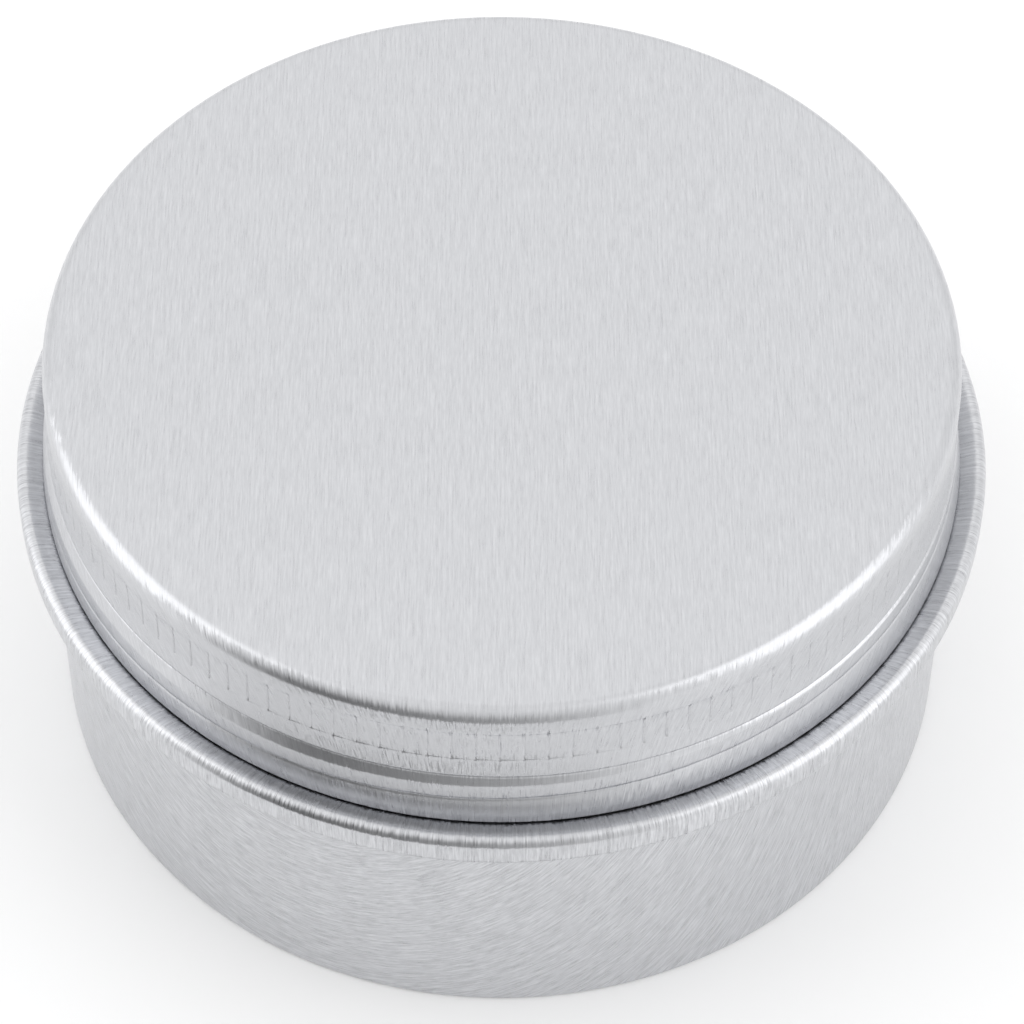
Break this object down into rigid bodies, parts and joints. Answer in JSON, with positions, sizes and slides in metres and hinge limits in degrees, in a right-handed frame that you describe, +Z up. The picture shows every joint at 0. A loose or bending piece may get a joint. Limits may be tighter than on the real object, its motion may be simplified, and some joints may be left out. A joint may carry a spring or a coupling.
{
  "type": "screw-top candle tin",
  "caption": "Round shallow drawn-aluminium tin with a rolled shoulder bead and a knurled screw lid holding a foam liner; the inside is open for wax or balm.",
  "frame": {"origin": "middle of the base, on the surface the tin stands on", "axes": "+Z up along the tin's axis; the brushing on the lid's top runs along Y"},
  "size_m": [0.083, 0.083, 0.0408],
  "materials": {
    "can_metal": "straight-brushed before drawing, satin",
    "liner_foam": "closed-cell foam, matt",
    "lid_metal": "straight-brushed before drawing, satin"
  },
  "bodies": {
    "can": {"can_body": "can_metal"},
    "liner": {"lid_liner": "liner_foam"},
    "lid": {"screw_lid": "lid_metal"}
  },
  "joints": [
    {"name": "lid_lift", "type": "slide", "parent": "can", "child": "liner", "axis": [0, 0, 1], "range_m": [0, 0.01411]},
    {"name": "lid_turn", "type": "hinge", "parent": "liner", "child": "lid", "pos_m": [0, 0, 0], "axis": [0, 0, 1], "range_deg": [0, 1080]}
  ],
  "couplings": [
    {"joint": "lid_lift", "follows": "lid_turn", "m_per_rad": 0.00074803}
  ]
}
